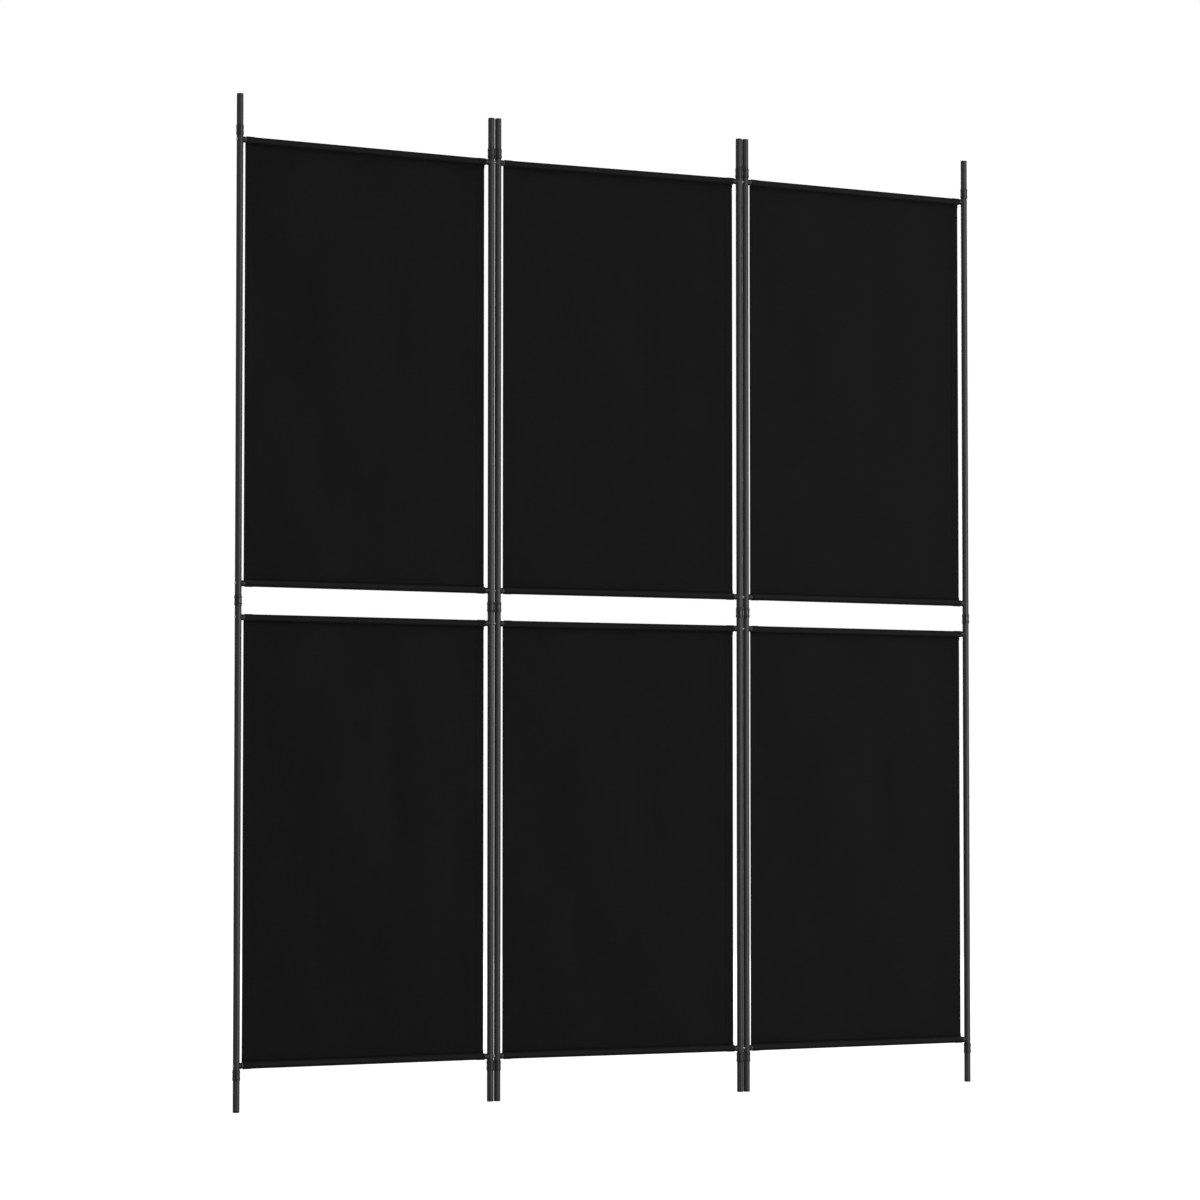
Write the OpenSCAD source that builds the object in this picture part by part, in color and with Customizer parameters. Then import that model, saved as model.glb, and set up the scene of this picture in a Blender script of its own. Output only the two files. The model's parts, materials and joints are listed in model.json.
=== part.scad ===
// Folding room divider screen: three tube frames with fabric stretched between rods,
// joined by turning plastic links. Millimetres. X runs along the opened screen,
// -Y is the front, +Z is up, and the origin is on the floor under the middle.
// The outer panels stand slightly out of line with the middle one.

/* [Overall size] */
// Height from the floor to the tips of the posts
screen_h = 1800; // [1700:1:1900]
// Width over the post tubes when the screen is opened flat
screen_w = 1500; // [1350:1:1650]
// Angle of the outer panels to the middle one, left to the front and right to the back
zigzag = 3.5; // [3.5:0.1:5]

/* [Posts] */
// Outer diameter of a post tube
post_d = 12; // [11.6:0.1:12.4]
// Wall thickness of a post tube
post_wall = 1; // [0.8:0.05:1.2]
// Open gap between the two posts of a join
post_gap = 1.3; // [1.3:0.1:2.4]
// Height of an end cap outside its tube
cap_h = 4; // [3:0.5:6]
// Length of an end cap's plug inside the tube
cap_plug = 12; // [8:1:16]

/* [Joins] */
// Distance of the lowest and highest joins from the ends of the posts
join_edge = 65; // [60:1:80]
// Height of the gap between tube ends that a link or collar fills
join_h = 20; // [19:0.5:21]
// Play of a link above and below it
link_play = 0.3; // [0.2:0.05:0.5]
// How far a ring's wall stands proud of the tube
ring_step = 0.7; // [0.5:0.1:0.9]
// How far a ring's two beads stand proud of the tube
bead_step = 1.2; // [1.1:0.1:1.3]
// Radius of a bead's round edge
bead_round = 3; // [2.6:0.1:3.2]
// Distance between the two beads of a ring
bead_pitch = 11.5; // [10:0.5:12]
// Chamfer at the ends of a ring
ring_chamfer = 1; // [0.6:0.1:1.2]
// Thickness of the web between the two rings of a link
web_t = 6; // [5:0.5:7]
// Radial clearance of the pins in the tubes and rings
pin_play = 0.05; // [0.03:0.01:0.08]
// Length of a pin from the middle of an end join to its tip
end_pin_half = 28; // [26:1:34]
// Length of a pin from the middle of a middle join to its tip
mid_pin_half = 38; // [36:1:46]

/* [Rods and screws] */
// Outer diameter of a rod
rod_d = 10; // [9.6:0.1:10.4]
// Wall thickness of a rod
rod_wall = 0.8; // [0.7:0.05:1]
// Height of the top and bottom rods from the middle of the join beside them
end_rod_step = 16.6; // [16.6:0.2:19]
// Height of the two middle rods from the middle of the middle join
mid_rod_step = 30; // [26:0.5:31]
// Distance of a rod's end from the axis of the post
rod_inset = 9; // [8:0.25:11]
// Outer diameter of a rod saddle
saddle_d = 11; // [10.6:0.1:11.4]
// Length of a saddle's plug inside the rod
saddle_plug = 18; // [16:1:24]
// Diameter of a screw's shank
screw_d = 3.9; // [3.5:0.1:3.9]
// Length of a screw's shank beyond the axis of the post
screw_reach = 20; // [16:1:22]
// Diameter of a screw's head
screw_head_d = 5.6; // [5:0.1:5.6]
// How far a screw's head stands proud of the tube
screw_head_h = 0.55; // [0.45:0.05:0.6]
// Width across the corners of a screw's hexagon socket
socket_d = 2.3; // [2:0.1:2.4]
// Depth of a screw's hexagon socket
socket_depth = 1.2; // [0.8:0.1:1.6]

/* [Fabric] */
// Thickness of the fabric
fabric_t = 0.6; // [0.4:0.05:0.8]
// Distance of the fabric's side edge from the axis of the post
fabric_inset = 11.8; // [11:0.2:16]
// Looseness of the fabric's pockets round the rods
pocket_play = 0.1; // [0.05:0.05:0.3]

/* [Hidden] */
$fn = 64;
tiny = 0.01; // overshoot of a cut

POSTS = ["left_outer", "left_inner", "centre_left", "centre_right", "right_inner", "right_outer"];
TUBES = ["foot_tube", "lower_tube", "upper_tube", "tip_tube"];
PANELS = ["left", "centre", "right"];
RODS = ["bottom_rod", "lower_middle_rod", "upper_middle_rod", "top_rod"];
FABRICS = ["lower_fabric", "upper_fabric"];
FITTINGS = ["post_connectors", "rod_saddles", "screws", "end_caps"];
JOINS = ["left", "right"];
LINKS = ["bottom_link", "middle_link", "top_link"];

post_r = post_d / 2;
tube_bore_r = post_r - post_wall;
pin_r = tube_bore_r - pin_play;
axis_gap = post_d + post_gap;                          // between the post axes of a join
panel_w = (screen_w - post_d - 2 * axis_gap) / 3;      // between the post axes of a panel
panel_x = [for (i = [-1:1]) i * (panel_w + axis_gap)]; // middle of each panel
join_z = [join_edge, screen_h / 2, screen_h - join_edge];
pin_half = [end_pin_half, mid_pin_half, end_pin_half];
rod_z = [
    join_z[0] + end_rod_step,
    join_z[1] - mid_rod_step,
    join_z[1] + mid_rod_step,
    join_z[2] - end_rod_step
];
tube_from_z = [cap_h, for (z = join_z) z + join_h / 2];
tube_to_z = [for (z = join_z) z - join_h / 2, screen_h - cap_h];

rod_r = rod_d / 2;
rod_bore_r = rod_r - rod_wall;
screw_r = screw_d / 2;
screw_hole_r = screw_r + 0.15;  // clearance hole in a tube or pin
saddle_hole_r = screw_r + 0.05; // hole that the screw's thread bites into
seat_play = 0.03;               // between a screw head or saddle and the tube it hugs
cap_edge = 1;                   // radius of an end cap's round edge

metal_colour = [0.19, 0.19, 0.2];
plastic_colour = [0.1, 0.1, 0.1];
steel_colour = [0.6, 0.6, 0.62];
fabric_colour = [0.05, 0.05, 0.055];

// -1 for the left post of a panel and +1 for its right post
function side_of(post) = 2 * (post % 2) - 1;
function post_x(post) = panel_x[floor(post / 2)] + side_of(post) * panel_w / 2;
function is_outer(post) = post == 0 || post == len(POSTS) - 1;
function posts_of(panel) = [2 * panel, 2 * panel + 1];

// Turns the pieces of an outer panel about the axis of its inner post
module in_zigzag(panel) {
    hinge_x = panel == 0 ? post_x(1) : post_x(4);
    translate([hinge_x, 0, 0])
        rotate([0, 0, panel == 1 ? 0 : zigzag])
            translate([-hinge_x, 0, 0]) children();
}

// Draws its children with +Z turned to point from a post out of its panel
module outwards(post, z) {
    translate([post_x(post), 0, z]) rotate([0, side_of(post) * 90, 0]) children();
}

// Draws its children with +Z turned to point from a post into its panel
module inwards(post, z) {
    translate([post_x(post), 0, z]) rotate([0, side_of(post) * -90, 0]) children();
}

module screw_holes(post) {
    for (z = rod_z) inwards(post, z) cylinder(h = 2 * post_d, r = screw_hole_r, center = true);
}

// One of the four tubes of a post, cut away where a screw passes through it
module post_tube(post, tube) {
    color(metal_colour) difference() {
        translate([post_x(post), 0, tube_from_z[tube]]) difference() {
            cylinder(h = tube_to_z[tube] - tube_from_z[tube], r = post_r);
            translate([0, 0, -tiny])
                cylinder(h = screen_h, r = tube_bore_r);
        }
        screw_holes(post);
    }
}

// Round collar with chamfered ends and two round beads, solid inside
module beaded_ring(height) {
    bead_r = post_r + bead_step - bead_round;
    ring_r = post_r + ring_step;
    cylinder(h = height - 2 * ring_chamfer, r = ring_r, center = true);
    for (side = [0, 1]) mirror([0, 0, side]) {
        translate([0, 0, height / 2 - ring_chamfer])
            cylinder(h = ring_chamfer, r1 = ring_r, r2 = post_r);
        translate([0, 0, bead_pitch / 2])
            rotate_extrude() translate([bead_r, 0]) circle(r = bead_round);
    }
}

// Turning link: two beaded rings side by side, each with a bore for its pin
module link(join, level) {
    height = join_h - 2 * link_play;
    sides = [post_x(2 * join + 1), post_x(2 * join + 2)];
    color(plastic_colour) translate([0, 0, join_z[level]]) difference() {
        union() {
            for (x = sides) translate([x, 0, 0]) beaded_ring(height);
            translate([(sides[0] + sides[1]) / 2, 0, 0])
                cube([axis_gap, web_t, height - 2 * ring_chamfer], center = true);
        }
        for (x = sides) translate([x, 0, 0])
            cylinder(h = 2 * height, r = pin_r + pin_play, center = true);
    }
}

// Pins that join the tubes of a panel's posts: plain where a link turns on them,
// with a fixed beaded collar on the screen's outermost posts
module post_connectors(panel) {
    color(plastic_colour) for (post = posts_of(panel)) difference() {
        for (level = [0:2]) translate([post_x(post), 0, join_z[level]]) {
            cylinder(h = 2 * pin_half[level], r = pin_r, center = true);
            if (is_outer(post)) beaded_ring(join_h);
        }
        screw_holes(post);
    }
}

module rod(panel, level) {
    length = panel_w - 2 * rod_inset;
    color(metal_colour) translate([panel_x[panel], 0, rod_z[level]]) rotate([0, 90, 0]) difference() {
        cylinder(h = length, r = rod_r, center = true);
        cylinder(h = length + 2 * tiny, r = rod_bore_r, center = true);
    }
}

// Plastic plugs in the rods' ends, each with a collar hollowed to hug the post
module rod_saddles(panel) {
    color(plastic_colour) for (post = posts_of(panel), z = rod_z) difference() {
        inwards(post, z) difference() {
            union() {
                translate([0, 0, post_r / 2]) cylinder(h = rod_inset - post_r / 2, r = saddle_d / 2);
                cylinder(h = rod_inset + saddle_plug, r = rod_bore_r - pin_play);
            }
            cylinder(h = screw_reach + 2, r = saddle_hole_r);
        }
        translate([post_x(post), 0, z])
            cylinder(h = 2 * saddle_d, r = post_r + seat_play, center = true);
    }
}

// Screw through a post into a saddle, with a low domed head that hugs the tube
module screw(post, z) {
    head_r = post_r + screw_head_h;
    difference() {
        union() {
            difference() {
                outwards(post, z) intersection() {
                    sphere(r = head_r);
                    cylinder(h = head_r, r = screw_head_d / 2);
                }
                translate([post_x(post), 0, z])
                    cylinder(h = 2 * screw_head_d, r = post_r + seat_play, center = true);
            }
            inwards(post, z) translate([0, 0, -post_r - seat_play - tiny])
                cylinder(h = post_r + seat_play + screw_reach, r = screw_r);
        }
        outwards(post, z) translate([0, 0, head_r - socket_depth])
            cylinder(h = socket_depth, r = socket_d / 2, $fn = 6);
    }
}

module screws(panel) {
    color(steel_colour) for (post = posts_of(panel), z = rod_z) screw(post, z);
}

// Half outline of an end cap standing on its outer face
module cap_outline() {
    square([post_r - cap_edge, cap_h]);
    translate([0, cap_edge]) square([post_r, cap_h - cap_edge]);
    translate([post_r - cap_edge, cap_edge]) circle(r = cap_edge);
    square([pin_r, cap_h + cap_plug]);
}

module end_caps(panel) {
    color(plastic_colour) for (post = posts_of(panel)) translate([post_x(post), 0, 0]) {
        rotate_extrude() cap_outline();
        translate([0, 0, screen_h]) mirror([0, 0, 1]) rotate_extrude() cap_outline();
    }
}

// Fabric stretched behind two rods, with a pocket sewn round each of them
module fabric(panel, field) {
    pocket_r = rod_r + pocket_play;
    low_z = rod_z[2 * field];
    high_z = rod_z[2 * field + 1];
    width = panel_w - 2 * fabric_inset;
    color(fabric_colour) translate([panel_x[panel] - width / 2, 0, 0])
        rotate([90, 0, 90]) linear_extrude(width) {
            for (z = [low_z, high_z]) translate([0, z]) difference() {
                circle(r = pocket_r + fabric_t);
                circle(r = pocket_r);
            }
            translate([pocket_r, low_z]) square([fabric_t, high_z - low_z]);
        }
}

for (post = [0:len(POSTS) - 1], tube = [0:len(TUBES) - 1])
    in_zigzag(floor(post / 2)) post_tube(post, tube);
for (join = [0:1], level = [0:2])
    link(join, level);
for (panel = [0:2]) in_zigzag(panel) {
    for (level = [0:3])
        rod(panel, level);
    for (field = [0:1])
        fabric(panel, field);
    post_connectors(panel);
    rod_saddles(panel);
    screws(panel);
    end_caps(panel);
}
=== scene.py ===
"""Looks of the folding room divider screen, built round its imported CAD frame. Sizes are in metres."""

import json
import math

import bpy
import numpy as np
from mathutils import Euler, Matrix, Vector, noise

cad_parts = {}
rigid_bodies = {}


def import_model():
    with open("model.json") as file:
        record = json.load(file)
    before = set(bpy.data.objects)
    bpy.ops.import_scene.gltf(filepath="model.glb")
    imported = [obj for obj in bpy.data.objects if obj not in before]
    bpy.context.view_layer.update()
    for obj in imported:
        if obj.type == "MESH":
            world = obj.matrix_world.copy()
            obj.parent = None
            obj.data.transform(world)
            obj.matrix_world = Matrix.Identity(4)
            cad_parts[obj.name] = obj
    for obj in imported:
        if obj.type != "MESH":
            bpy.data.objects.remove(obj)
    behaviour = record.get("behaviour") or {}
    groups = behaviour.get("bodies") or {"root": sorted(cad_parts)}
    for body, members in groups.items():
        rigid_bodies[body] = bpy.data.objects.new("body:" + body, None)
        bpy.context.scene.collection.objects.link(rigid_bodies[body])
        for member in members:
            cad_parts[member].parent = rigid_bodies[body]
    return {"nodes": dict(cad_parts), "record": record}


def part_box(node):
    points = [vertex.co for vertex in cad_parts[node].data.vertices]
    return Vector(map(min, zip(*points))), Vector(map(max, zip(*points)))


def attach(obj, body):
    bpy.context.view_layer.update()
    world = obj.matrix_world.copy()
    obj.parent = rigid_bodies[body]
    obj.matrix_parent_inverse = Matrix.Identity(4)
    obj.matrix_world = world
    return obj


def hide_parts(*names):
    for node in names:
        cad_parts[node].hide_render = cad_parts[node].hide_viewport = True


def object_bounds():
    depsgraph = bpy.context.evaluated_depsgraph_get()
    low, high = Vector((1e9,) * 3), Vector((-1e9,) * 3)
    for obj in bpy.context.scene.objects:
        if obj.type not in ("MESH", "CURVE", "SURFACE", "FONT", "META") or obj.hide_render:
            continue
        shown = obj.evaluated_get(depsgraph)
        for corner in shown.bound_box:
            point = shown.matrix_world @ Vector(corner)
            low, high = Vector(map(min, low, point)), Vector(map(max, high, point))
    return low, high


for leftover in list(bpy.data.objects):
    bpy.data.objects.remove(leftover)
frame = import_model()
cad_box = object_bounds()

MM = 0.001
POSTS_OF = {
    "left": ("left_outer", "left_inner"),
    "centre": ("centre_left", "centre_right"),
    "right": ("right_inner", "right_outer"),
}
FIELDS = {"lower": ("bottom_rod", "lower_middle_rod"), "upper": ("upper_middle_rod", "top_rod")}

# Cloth, as sewn
CLOTH_T = 0.5 * MM
LAYER = 0.56 * MM        # spacing of cloth layers sewn on each other
STITCH_IN = 14 * MM      # from a field's top or bottom edge to its pocket's seam
FLAP_PAST_SEAM = 3 * MM
TURN_IN = 6 * MM         # raw edge turned in under the flap
HEM_W = 15 * MM          # single hem down each side of a field
HEM_SEAM_IN = 13 * MM
SEAM_DENT = 0.13 * MM    # how deep a seam pulls into the cloth
ROUND_EDGE = 0.6 * MM    # width over which a folded side edge rounds off
THREAD_W = 1.1 * MM      # pitch of the cloth's threads

# A side hem's second layer lies on the rods' side of the open field, and outside round a rod
HEM_STEP = 0.15 * MM     # width over which the second layer begins
SWAP_FROM = 18 * MM      # from a rod's middle to where the layer starts to change sides
SWAP_OVER = 14 * MM      # length over which it changes

# Waves of the stretched cloth
RIPPLE = 0.32 * MM       # height of the slow ripples
RIPPLE_W = 55 * MM
RIPPLE_H = 420 * MM
RIPPLE_FADE = 120 * MM   # from a rod's middle to where the ripples are full
PUCKER = 0.10 * MM       # height of the puckers along a pocket's seam
PUCKER_PITCH = 17 * MM
PUCKER_WANDER = 90 * MM  # length over which the puckers' spacing wanders
PUCKER_START = 12 * MM   # from a rod's middle to where the puckers are full
PUCKER_REACH = 30 * MM

# Painted highlight and painted shade on the cloth: distances from a mark's middle at which it begins and
# at which it is full
HIGHLIGHT_RISE = 2.2 * MM      # from a rod's middle to the middle of the painted highlight along its front
# Painted highlight along each rod's front, where the light catches the curve of the cloth
PAINTED_HIGHLIGHT = (6.5 * MM, 0.5 * MM)
# Painted shade along each pocket's seam, where the cloth folds in
SEAM_SHADE = (2.2 * MM, 0.6 * MM)

# Mesh density of a field
SHEET_ROWS = 60
SHEET_COLUMNS = 92

# Thread
STITCH_STEP = 4.0 * MM
STITCH_L = 3.3 * MM
THREAD_R = 0.19 * MM
THREAD_LIFT = 0.35       # height of a stitch's middle over the cloth, in thread radii
THREAD_SINK = 0.6        # depth of a stitch's ends under its middle, in thread radii


# ---------------------------------------------------------------- meshes

def new_object(name, points, faces, smooth_below=math.radians(35)):
    """A smooth-shaded mesh object, with edges sharper than smooth_below left sharp."""
    mesh = bpy.data.meshes.new(name)
    mesh.from_pydata(np.asarray(points, float).tolist(), [], faces)
    mesh.shade_smooth()
    mesh.set_sharp_from_angle(angle=smooth_below)
    obj = bpy.data.objects.new(name, mesh)
    bpy.context.scene.collection.objects.link(obj)
    return obj


def grid_faces(rows, cols, start, flip):
    """Quads of a rows x cols grid of points that begins at index start."""
    faces = []
    for r in range(rows - 1):
        for c in range(cols - 1):
            a = start + r * cols + c
            quad = (a, a + 1, a + cols + 1, a + cols)
            faces.append(quad[::-1] if flip else quad)
    return faces


def rim_faces(rows, cols, other):
    """Quads that close the edge between a grid of points and the same grid at index other."""
    ring = list(range(cols))
    ring += [r * cols + cols - 1 for r in range(1, rows)]
    ring += [(rows - 1) * cols + c for c in range(cols - 2, -1, -1)]
    ring += [r * cols for r in range(rows - 2, 0, -1)]
    pairs = zip(ring, ring[1:] + ring[:1])
    return [(b, a, a + other, b + other) for a, b in pairs]


# ---------------------------------------------------------------- fabric fields

def panel_place(panel):
    """Matrix that puts what is drawn along X about the origin in its place in a panel."""
    axes = []
    for post in POSTS_OF[panel]:
        low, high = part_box(f"{post}_lower_tube")
        axes.append((low + high) / 2)
    middle, across = (axes[0] + axes[1]) / 2, axes[1] - axes[0]
    turn = Matrix.Rotation(math.atan2(across.y, across.x), 4, "Z")
    return Matrix.Translation((middle.x, middle.y, 0)) @ turn


def seam_rise(reach):
    """Height of a pocket's seam over its rod's axis, where reach is the cloth's radius there."""
    return STITCH_IN - (reach + CLOTH_T / 2)


def pocket_path(reach):
    """The cloth's middle line round one rod as (back, up) pairs about the rod's axis.

    It runs from the raw edge turned in under the flap, over the flap's fold, down the front,
    round the rod and on to where the cloth leaves the rod's back. reach is the line's radius.
    """
    inner = reach - LAYER
    outer = reach - 2 * LAYER
    bend = LAYER / 2
    seam = seam_rise(reach)
    fold = seam + FLAP_PAST_SEAM - bend
    leave = fold - TURN_IN
    path = [(inner, up) for up in np.linspace(fold - TURN_IN + 1 * MM, fold, 4)]
    for turn in np.linspace(0, math.pi, 7)[1:]:
        path.append((inner - bend + bend * math.cos(turn), fold + bend * math.sin(turn)))
    flap = [fold - 1 * MM, seam + 1 * MM, seam, seam - 1 * MM, seam - 2 * MM, leave]
    path += [(outer, up) for up in flap]
    # From the flap's end the cloth runs straight to where it touches the circle round the rod
    touch = math.atan2(leave, outer) + math.acos(reach / math.hypot(leave, outer))
    tangent = (reach * math.cos(touch), reach * math.sin(touch))
    for part in (1 / 3, 2 / 3):
        path.append((outer + part * (tangent[0] - outer), leave + part * (tangent[1] - leave)))
    for turn in np.linspace(touch, 2 * math.pi, 28):
        path.append((reach * math.cos(turn), reach * math.sin(turn)))
    return path


def field_path(low_z, high_z, reach):
    """The cloth's whole middle line from pocket to pocket: points (y, z) and which are sheet."""
    pocket = pocket_path(reach)
    seam = seam_rise(reach)
    near = [2 * MM, 4 * MM, 6 * MM, seam - 1 * MM, seam, seam + 1 * MM, seam + 3 * MM]
    near += [seam + 6 * MM, seam + 10 * MM]
    first, last = low_z + near[-1], high_z - near[-1]
    turns = [math.pi * k / SHEET_ROWS for k in range(1, SHEET_ROWS)]
    wide = [first + (last - first) * (1 - math.cos(turn)) / 2 for turn in turns]
    sheet = [low_z + up for up in near] + wide + [high_z - up for up in reversed(near)]
    points = [(y, low_z + up) for y, up in pocket]
    points += [(reach, z) for z in sheet]
    points += [(y, high_z - up) for y, up in reversed(pocket)]
    flags = [False] * len(pocket) + [True] * len(sheet) + [False] * len(pocket)
    return np.array(points), np.array(flags)


def field_columns(width):
    """Distances of the cloth's columns of points from its left edge.

    They are close together at the folded edge, the hem's seam and the hem's inner edge.
    """
    edge = [0, 0.05, 0.15, 0.35, 0.6, 1.2, 3, 6, 9.5, 12.2, 13, 13.8, 14.9, 15.15, 16.5, 20]
    edge = [d * MM for d in edge]
    inner = np.linspace(edge[-1], width - edge[-1], SHEET_COLUMNS)[1:-1]
    return np.array(edge + inner.tolist() + [width - d for d in reversed(edge)])


def smoothstep(x):
    """Rises smoothly from 0 to 1 as x does, and stays level beyond."""
    x = np.clip(x, 0, 1)
    return x * x * (3 - 2 * x)


def dent(distance, half=0.9 * MM):
    """How deep a seam pulls the cloth in at a distance from the seam."""
    return SEAM_DENT * np.clip(1 - np.abs(distance) / half, 0, 1)


def ripples(xs, zs, low_z, high_z, seed):
    """How far each point of the stretched cloth stands back from flat, fading to its pockets."""
    out = np.zeros((len(zs), len(xs)))
    for r, z in enumerate(zs):
        up = min(z - low_z, high_z - z)
        slow = float(smoothstep(up / RIPPLE_FADE)) * RIPPLE
        fast = math.exp(-max(up, 0) / PUCKER_REACH) * float(smoothstep(up / PUCKER_START)) * PUCKER
        for c, x in enumerate(xs):
            place = Vector((x / RIPPLE_W, seed, z / RIPPLE_H))
            wander = noise.noise(Vector((x / PUCKER_WANDER, seed + 7.0, 0.0)))
            out[r, c] = slow * noise.noise(place)
            out[r, c] += fast * math.sin(2 * math.pi * (x / PUCKER_PITCH + wander))
    return out


class Field:
    """One fabric field: its two faces as grids of points, and where its seams run.

    The panels are alike, so each field is drawn in the middle panel, which stands along X, and
    then put in its place.
    """

    def __init__(self, panel, name):
        self.node = f"{panel}_{name}_fabric"
        self.place = panel_place(panel)
        low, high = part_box(f"centre_{name}_fabric")
        rods = [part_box(f"centre_{rod}") for rod in FIELDS[name]]
        self.low_z, self.high_z = [(a.z + b.z) / 2 for a, b in rods]
        self.left, self.width = low.x, high.x - low.x
        self.reach = (high.y - low.y) / 2 - CLOTH_T / 2
        self.path, self.is_sheet = field_path(self.low_z, self.high_z, self.reach)
        self.columns = field_columns(self.width)
        steps = np.linalg.norm(np.diff(self.path, axis=0), axis=1)
        self.along = np.concatenate([[0], np.cumsum(steps)])
        # Each field has ripples of its own
        seed = 3.0 * list(POSTS_OF).index(panel) + 1.5 * list(FIELDS).index(name)
        self.inner, self.outer = self.faces(seed)
        self.seam_z = self.low_z + seam_rise(self.reach)

    def normals(self):
        """Unit normals of the path, to the side of the cloth that faces the rods."""
        ahead = np.gradient(self.path, axis=0)
        ahead /= np.linalg.norm(ahead, axis=1)[:, None]
        return np.stack([-ahead[:, 1], ahead[:, 0]], axis=1)

    def faces(self, seed):
        """The rod side and the other side of the cloth, each as rows x columns x 3 points."""
        path, sides = self.path, self.normals()
        from_edge = np.minimum(self.columns, self.width - self.columns)
        hem = 1 - smoothstep((from_edge - HEM_W) / HEM_STEP + 0.5)
        rounding = np.sqrt(1 - (1 - np.clip(from_edge / ROUND_EDGE, 0.06, 1)) ** 2)
        near_rod = np.minimum(np.abs(path[:, 1] - self.low_z), np.abs(path[:, 1] - self.high_z))
        wrapped = 1 - smoothstep((near_rod - SWAP_FROM) / SWAP_OVER)
        wrapped[~self.is_sheet] = 1
        hem_dent = dent(from_edge - HEM_SEAM_IN)
        pocket_dent = dent(near_rod - seam_rise(self.reach)) * (path[:, 0] > self.reach - 3 * LAYER)
        inward = CLOTH_T / 2 + CLOTH_T * np.outer(1 - wrapped, hem)
        outward = CLOTH_T / 2 + CLOTH_T * np.outer(wrapped, hem)
        dents = np.maximum(np.outer(self.is_sheet, hem_dent), pocket_dent[:, None])
        inward = (inward - np.outer(self.is_sheet, hem_dent)) * rounding
        outward = (outward - dents) * rounding
        xs = self.left + self.columns
        back = ripples(xs, path[:, 1], self.low_z, self.high_z, seed) * self.is_sheet[:, None]
        made = []
        for side, offset in ((1, inward), (-1, outward)):
            points = np.zeros((len(path), len(xs), 3))
            points[:, :, 0] = xs
            points[:, :, 1] = path[:, :1] + side * offset * sides[:, :1] + back
            points[:, :, 2] = path[:, 1:] + side * offset * sides[:, 1:]
            made.append(points)
        return made

    def cloth(self, material):
        """The cloth as one closed mesh, with a UV map in metres of cut cloth."""
        rows, cols = self.inner.shape[:2]
        count = rows * cols
        points = np.concatenate([self.inner.reshape(-1, 3), self.outer.reshape(-1, 3)])
        faces = grid_faces(rows, cols, 0, False) + grid_faces(rows, cols, count, True)
        faces += rim_faces(rows, cols, count)
        obj = new_object(self.node.replace("_fabric", "_cloth"), points, faces)
        obj.data.transform(self.place)
        cut = np.stack(np.meshgrid(self.columns, self.along), axis=-1).reshape(-1, 2)
        cut = np.concatenate([cut, cut])
        corners = np.zeros(len(obj.data.loops), int)
        obj.data.loops.foreach_get("vertex_index", corners)
        obj.data.uv_layers.new(name="cut").data.foreach_set("uv", cut[corners].ravel())
        obj.data.materials.append(material)
        return obj

    def row_at(self, z, flap):
        """The row of points at a height, on the flap or on the sheet behind it."""
        usable = self.path[:, 0] < self.reach - 1.5 * LAYER if flap else self.is_sheet
        distance = np.where(usable, np.abs(self.path[:, 1] - z), np.inf)
        return int(np.argmin(distance))

    def seams(self):
        """Each seam's line of points on the cloth, with the direction out of the cloth."""
        front, back = Vector((0, -1, 0)), Vector((0, 1, 0))
        lines = []
        margin = 3 * MM
        across = np.arange(margin, self.width - margin, STITCH_STEP)
        for z in (self.seam_z, self.low_z + self.high_z - self.seam_z):
            for out, flap in ((front, True), (back, False)):
                row = self.row_at(z, flap)
                lines.append((self.trace(self.outer[row], self.columns, across), out))
        rows = np.flatnonzero(self.is_sheet)
        heights = self.path[rows, 1]
        climb = STITCH_IN + FLAP_PAST_SEAM
        up = np.arange(self.low_z + climb, self.high_z - climb, STITCH_STEP)
        for distance in (HEM_SEAM_IN, self.width - HEM_SEAM_IN):
            column = int(np.argmin(np.abs(self.columns - distance)))
            for out, face in ((front, self.inner), (back, self.outer)):
                lines.append((self.trace(face[rows, column], heights, up), out))
        return lines

    @staticmethod
    def trace(points, known, wanted):
        """Points along a row or column of a face, at the wanted places."""
        return np.stack([np.interp(wanted, known, points[:, k]) for k in range(3)], axis=1)

    def flat(self):
        """The size of the cut cloth: side hems and both pockets laid flat."""
        return (self.width + 2 * HEM_W, float(self.along[-1]))


def stitches(name, seams, place, material):
    """Lockstitch threads along the seams, each a short tapered four-sided capsule."""
    points, faces = [], []
    for line, out in seams:
        for start, end in zip(line[:-1], line[1:]):
            middle = Vector((start + end) / 2) + out * THREAD_R * THREAD_LIFT
            ahead = Vector(end - start).normalized()
            across = ahead.cross(out).normalized()
            base = len(points)
            points.append(middle - ahead * STITCH_L / 2 - out * THREAD_R * THREAD_SINK)
            for step, size in ((-0.38, 0.8), (0.0, 1.0), (0.38, 0.8)):
                ring = middle + ahead * STITCH_L * step
                for side, lift in ((1, 0), (0, 1), (-1, 0), (0, -1)):
                    points.append(ring + (across * side + out * lift) * THREAD_R * size)
            points.append(middle + ahead * STITCH_L / 2 - out * THREAD_R * THREAD_SINK)
            for k in range(4):
                a, b = base + 1 + k, base + 1 + (k + 1) % 4
                faces.append((base, b, a))
                faces.append((a, b, b + 4, a + 4))
                faces.append((a + 4, b + 4, b + 8, a + 8))
                faces.append((a + 8, b + 8, base + 13))
    obj = new_object(name, points, faces, smooth_below=math.radians(180))
    obj.data.transform(place)
    obj.data.materials.append(material)
    return obj


# ---------------------------------------------------------------- materials

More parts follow.
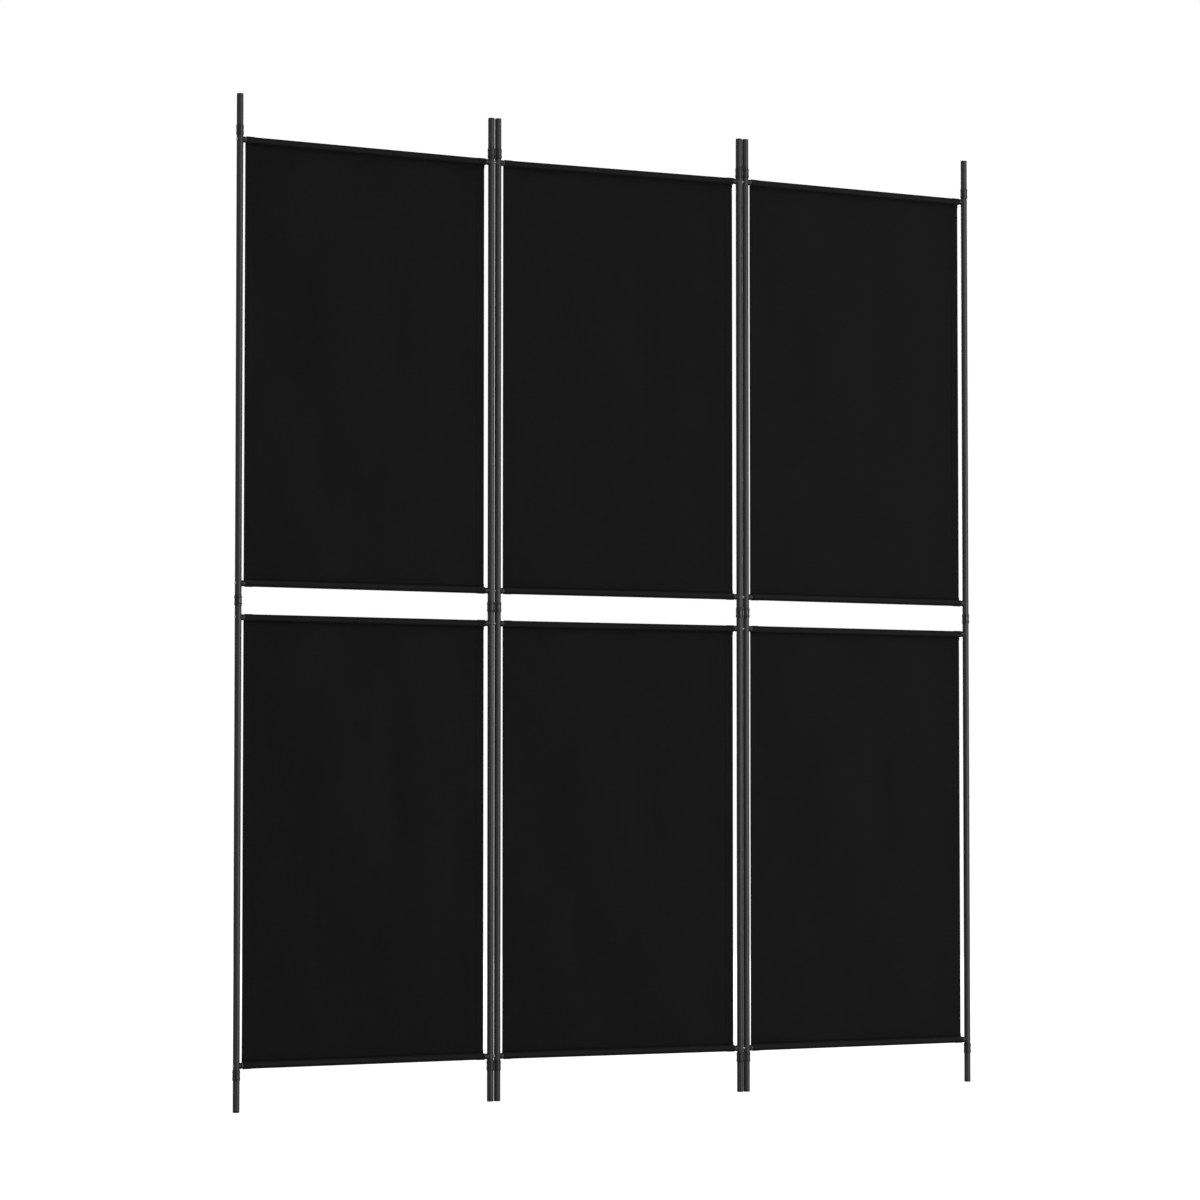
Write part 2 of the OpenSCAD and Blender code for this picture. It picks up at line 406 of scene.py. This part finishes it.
class Shader:
    """A material's node tree with a Principled surface, and short ways to add nodes to it."""

    def __init__(self, name, **settings):
        self.material = bpy.data.materials.new(name)
        self.material.use_nodes = True
        self.tree = self.material.node_tree
        self.surface = self.tree.nodes["Principled BSDF"]
        for socket, value in settings.items():
            self.surface.inputs[socket.replace("_", " ")].default_value = value

    def add(self, kind, **inputs):
        """A new node, with each named input set to a value or linked to a socket."""
        node = self.tree.nodes.new(kind)
        for socket, value in inputs.items():
            self.feed(node.inputs[socket.replace("_", " ")], value)
        return node

    def feed(self, socket, value):
        """Links another node's socket to an input, or sets the input to a plain value."""
        if isinstance(value, bpy.types.NodeSocket):
            self.tree.links.new(value, socket)
        else:
            socket.default_value = value

    def math(self, operation, *values):
        """The result of one Math node."""
        node = self.tree.nodes.new("ShaderNodeMath")
        node.operation = operation
        for socket, value in zip(node.inputs, values):
            self.feed(socket, value)
        return node.outputs[0]

    def weighted(self, *parts):
        """The sum of values, each times its weight."""
        total = 0.0
        for value, weight in parts:
            total = self.math("MULTIPLY_ADD", value, weight, total)
        return total

    def place(self, stretch=(1, 1, 1)):
        """Object coordinates in metres, stretched."""
        coordinates = self.add("ShaderNodeTexCoord").outputs["Object"]
        return self.stretched(coordinates, stretch)

    def stretched(self, vector, stretch):
        """A vector with each of its parts multiplied."""
        node = self.add("ShaderNodeMapping", Vector=vector)
        node.inputs["Scale"].default_value = stretch
        return node.outputs["Vector"]

    def noise(self, vector, scale, detail=2.0, roughness=0.5):
        """Smooth noise between 0 and 1, with scale as its number of features to a metre."""
        node = self.add("ShaderNodeTexNoise", Vector=vector, Scale=scale, Detail=detail)
        node.inputs["Roughness"].default_value = roughness
        return node.outputs["Fac"]

    def span(self, value, low, high):
        """Maps a value between 0 and 1 to between low and high."""
        node = self.add("ShaderNodeMapRange", Value=value)
        node.inputs["To Min"].default_value = low
        node.inputs["To Max"].default_value = high
        return node.outputs["Result"]

    def ramp(self, value, start, end):
        """Rises smoothly from 0 to 1 as value goes from start to end."""
        node = self.add("ShaderNodeMapRange", Value=value)
        node.interpolation_type = "SMOOTHSTEP"
        node.inputs["From Min"].default_value = start
        node.inputs["From Max"].default_value = end
        return node.outputs["Result"]

    def colours(self, value, dark, light):
        """A colour between dark and light, for a value that mostly lies near 0.5."""
        node = self.tree.nodes.new("ShaderNodeValToRGB")
        self.feed(node.inputs["Fac"], value)
        node.color_ramp.elements[0].color = (*dark, 1)
        node.color_ramp.elements[1].color = (*light, 1)
        node.color_ramp.elements[0].position = 0.25
        node.color_ramp.elements[1].position = 0.75
        return node.outputs["Color"]

    def bump(self, height, distance, strength=1.0, under=None):
        """A normal from a height between 0 and distance, laid over another bump if given."""
        node = self.add("ShaderNodeBump", Height=height)
        node.inputs["Distance"].default_value = distance
        node.inputs["Strength"].default_value = strength
        if under is not None:
            self.feed(node.inputs["Normal"], under)
        return node.outputs["Normal"]

    def drive(self, **sockets):
        """Feeds the named inputs of the surface."""
        for socket, value in sockets.items():
            self.feed(self.surface.inputs[socket.replace("_", " ")], value)


def powder_coat():
    """Satin dark grey powder coat on tube: fine orange peel and a slight change of tone."""
    shader = Shader("powder_coat", Metallic=0.0, Specular_IOR_Level=0.4)
    tone = shader.noise(shader.place((1, 1, 0.25)), 60.0, detail=3.0)
    shader.drive(Base_Color=shader.colours(tone, (0.029, 0.029, 0.030), (0.037, 0.037, 0.038)))
    shader.drive(Roughness=shader.span(tone, 0.40, 0.52))
    peel = shader.noise(shader.place(), 900.0, detail=1.5)
    speck = shader.noise(shader.place(), 3200.0, detail=1.0)
    coarse = shader.bump(peel, 0.10 * MM, 0.55)
    shader.drive(Normal=shader.bump(speck, 0.03 * MM, 0.4, under=coarse))
    return shader.material


def moulded_plastic(name, dark, light, roughness, grain_height):
    """Black moulded plastic with a spark-eroded grain, glossier on the crests."""
    shader = Shader(name, Specular_IOR_Level=0.5)
    grain = shader.noise(shader.place(), 2400.0, detail=2.0)
    tone = shader.noise(shader.place(), 140.0)
    shader.drive(Base_Color=shader.colours(tone, (dark, dark, dark * 1.04), (light, light, light * 1.04)))
    shader.drive(Roughness=shader.span(grain, *roughness))
    shader.drive(Normal=shader.bump(grain, grain_height, 0.6))
    return shader.material


def zinc_plate():
    """Zinc-plated steel of the screws, with faint turning marks and dulled patches."""
    shader = Shader("zinc_plate", Metallic=1.0)
    patches = shader.noise(shader.place(), 700.0, detail=3.0)
    marks = shader.noise(shader.place((6, 1, 1)), 1500.0)
    shader.drive(Base_Color=shader.colours(patches, (0.44, 0.44, 0.45), (0.60, 0.60, 0.61)))
    shader.drive(Roughness=shader.span(patches, 0.26, 0.44))
    shader.drive(Normal=shader.bump(marks, 0.02 * MM, 0.5))
    return shader.material


def black_cloth(field):
    """Black plain-woven polyester, its threads laid out along the cut cloth of a field.

    Its colour is painted a little paler along the front of each rod as a painted highlight, and darker
    along its seams as painted shade.
    """
    shader = Shader("black_cloth", Specular_IOR_Level=0.05, Sheen_Weight=0.02, Sheen_Roughness=0.5)
    uv = shader.add("ShaderNodeUVMap")
    uv.uv_map = "cut"
    cut = uv.outputs["UV"]
    place = shader.add("ShaderNodeSeparateXYZ", Vector=cut)
    turns = [shader.math("MULTIPLY", place.outputs[k], math.pi / THREAD_W) for k in (0, 1)]
    waves = [shader.math("SINE", turn) for turn in turns]
    over = shader.math("GREATER_THAN", shader.math("MULTIPLY", *waves), 0.0)
    under = shader.math("SUBTRACT", 1.0, over)
    rounds = [shader.math("ABSOLUTE", wave) for wave in waves]
    pillow = shader.math("POWER", shader.math("MULTIPLY", *rounds), 0.6)
    weft = shader.noise(shader.stretched(cut, (1400.0, 26.0, 1.0)), 1.0, detail=3.0)
    warp = shader.noise(shader.stretched(cut, (26.0, 1400.0, 1.0)), 1.0, detail=3.0)
    slub = shader.math("ADD", shader.math("MULTIPLY", weft, over), shader.math("MULTIPLY", warp, under))
    cloudy = shader.noise(shader.stretched(cut, (9.0, 3.0, 1.0)), 1.0, detail=3.0)

    from_end = shader.math("PINGPONG", place.outputs[1], field.flat()[1] / 2)

    def near(row, begins, full):
        """A mark along a row of the cloth, and along its mirror image at the other pocket."""
        away = shader.math("ABSOLUTE", shader.math("SUBTRACT", from_end, field.along[row]))
        return shader.ramp(away, begins, full)

    # Painted highlight: a paler line along the front of each rod, where the light catches the curve of
    # the cloth
    painted_highlight = near(field.row_at(field.low_z + HIGHLIGHT_RISE, True), *PAINTED_HIGHLIGHT)
    # Painted shade: darker lines along the pocket seams, where the cloth folds into shade
    seams = [near(field.row_at(field.seam_z, flap), *SEAM_SHADE) for flap in (True, False)]
    seam_shade = shader.math("MAXIMUM", *seams)
    tone = shader.weighted((slub, 0.35), (cloudy, 0.15), (pillow, 0.3), (painted_highlight, 0.25), (seam_shade, -0.25))
    shader.drive(Base_Color=shader.colours(tone, (0.0048, 0.0048, 0.0048), (0.0190, 0.0190, 0.0189)))
    shader.drive(Roughness=shader.span(slub, 0.72, 0.92))
    weave = shader.bump(pillow, 0.16 * MM, 0.7)
    shader.drive(Normal=shader.bump(slub, 0.06 * MM, 0.5, under=weave))
    return shader.material


def sewing_thread():
    """Black twisted polyester thread, slightly shinier than the cloth."""
    shader = Shader("sewing_thread", Specular_IOR_Level=0.3)
    twist = shader.noise(shader.place(), 2600.0)
    shader.drive(Base_Color=shader.colours(twist, (0.008, 0.008, 0.0084), (0.014, 0.014, 0.0145)))
    shader.drive(Roughness=shader.span(twist, 0.5, 0.7))
    return shader.material


def studio_white():
    """Plain floor, grey to what it lights and nearly as pale as the backdrop to the camera."""
    shader = Shader("studio_white", Roughness=0.9, Specular_IOR_Level=0.0)
    shader.surface.inputs["Base Color"].default_value = (0.5, 0.5, 0.5, 1)
    shader.surface.inputs["Emission Color"].default_value = (1, 1, 1, 1)
    seen = shader.add("ShaderNodeLightPath").outputs["Is Camera Ray"]
    shader.drive(Emission_Strength=shader.span(seen, 0.0, 0.85))
    return shader.material


# ---------------------------------------------------------------- object

def dress_cad_nodes():
    """Gives every CAD node that stays in view its material, by its slot in the record, save the saddles,
    whose plastic is darkened as painted shade.
    """
    by_slot = {
        "frame_paint": powder_coat(),
        "plastic": moulded_plastic("satin_plastic", 0.0085, 0.012, (0.30, 0.44), 0.05 * MM),
        "screws": zinc_plate(),
    }
    # The saddles' plastic is a rougher copy of the rings' plastic, with its colour darkened as painted
    # shade
    shaded_matt = moulded_plastic("shaded_matt_plastic", 0.0040, 0.0055, (0.55, 0.75), 0.09 * MM)
    for part in frame["record"]["subparts"]:
        material = by_slot.get(part["material_slot"])
        if part["node"].endswith("_saddles"):
            material = shaded_matt
        if material is not None:
            mesh = frame["nodes"][part["node"]].data
            mesh.materials.clear()
            mesh.materials.append(material)


def make_fields():
    """The fabric fields with their stitches, each in place of its plain CAD solid."""
    fields = {(panel, name): Field(panel, name) for panel in POSTS_OF for name in FIELDS}
    # The fields are cut alike, so one material serves them all
    cloth = black_cloth(fields["centre", "lower"])
    thread = sewing_thread()
    for panel in POSTS_OF:
        body = f"{panel}_panel"
        for name, rods in FIELDS.items():
            field = fields[panel, name]
            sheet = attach(field.cloth(cloth), body)
            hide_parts(field.node)
            sewing = stitches(f"{panel}_{name}_stitching", field.seams(), field.place, thread)
            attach(sewing, body)
            field.flat()


# ---------------------------------------------------------------- studio

CAMERA_PLACE = (-2.3381, -5.5874, 0.5607)
CAMERA_YAW = math.radians(22.3486)
CAMERA_PITCH = math.radians(2.1184)
CAMERA_LENS = 97.919
CAMERA_RISE = 0.06       # shift that frames the feet and tips from a low, nearly level camera


def make_camera():
    """A long lens in front of the screen and to its left, level with its lower third."""
    data = bpy.data.cameras.new("camera")
    data.lens = CAMERA_LENS
    data.shift_y = CAMERA_RISE
    camera = bpy.data.objects.new("camera", data)
    camera.location = CAMERA_PLACE
    camera.rotation_euler = Euler((math.pi / 2 + CAMERA_PITCH, 0, -CAMERA_YAW))
    bpy.context.scene.collection.objects.link(camera)
    bpy.context.scene.camera = camera


def make_floor():
    """A wide floor, just under the feet so that it doesn't share a plane with them."""
    half = 20.0
    drop = 0.2 * MM
    corners = [(-half, -half, -drop), (half, -half, -drop), (half, half, -drop), (-half, half, -drop)]
    floor = new_object("studio_floor", corners, [(0, 1, 2, 3)])
    floor.data.materials.append(studio_white())


def make_world():
    """White to the camera, and a soft grey sky to everything that it lights."""
    world = bpy.data.worlds.new("studio")
    bpy.context.scene.world = world
    world.use_nodes = True
    nodes, links = world.node_tree.nodes, world.node_tree.links
    lit = nodes["Background"]
    lit.inputs["Color"].default_value = (1, 1, 1, 1)
    lit.inputs["Strength"].default_value = 0.42
    seen = nodes.new("ShaderNodeBackground")
    seen.inputs["Strength"].default_value = 1.0
    seen.inputs["Color"].default_value = (1, 1, 1, 1)
    path = nodes.new("ShaderNodeLightPath")
    mix = nodes.new("ShaderNodeMixShader")
    links.new(path.outputs["Is Camera Ray"], mix.inputs["Fac"])
    links.new(lit.outputs[0], mix.inputs[1])
    links.new(seen.outputs[0], mix.inputs[2])
    links.new(mix.outputs[0], nodes["World Output"].inputs["Surface"])


def add_softbox(name, place, size, power):
    """A square area light that faces the middle of the screen."""
    data = bpy.data.lights.new(name, "AREA")
    data.shape = "SQUARE"
    data.size = size
    data.energy = power
    light = bpy.data.objects.new(name, data)
    light.location = place
    middle = Vector((0, 0, (cad_box[0].z + cad_box[1].z) / 2))
    light.rotation_euler = (middle - Vector(place)).to_track_quat("-Z", "Y").to_euler()
    bpy.context.scene.collection.objects.link(light)


def make_studio():
    """Camera, floor, backdrop and lights, with colours shown as they are lit."""
    make_camera()
    make_floor()
    make_world()
    add_softbox("key_light", place=(3.0, -5.1, 1.3), size=2.4, power=172)
    add_softbox("back_light", place=(2.0, 4.5, 2.2), size=2.4, power=90)
    bpy.context.scene.view_settings.view_transform = "Standard"


make_studio()
dress_cad_nodes()
make_fields()
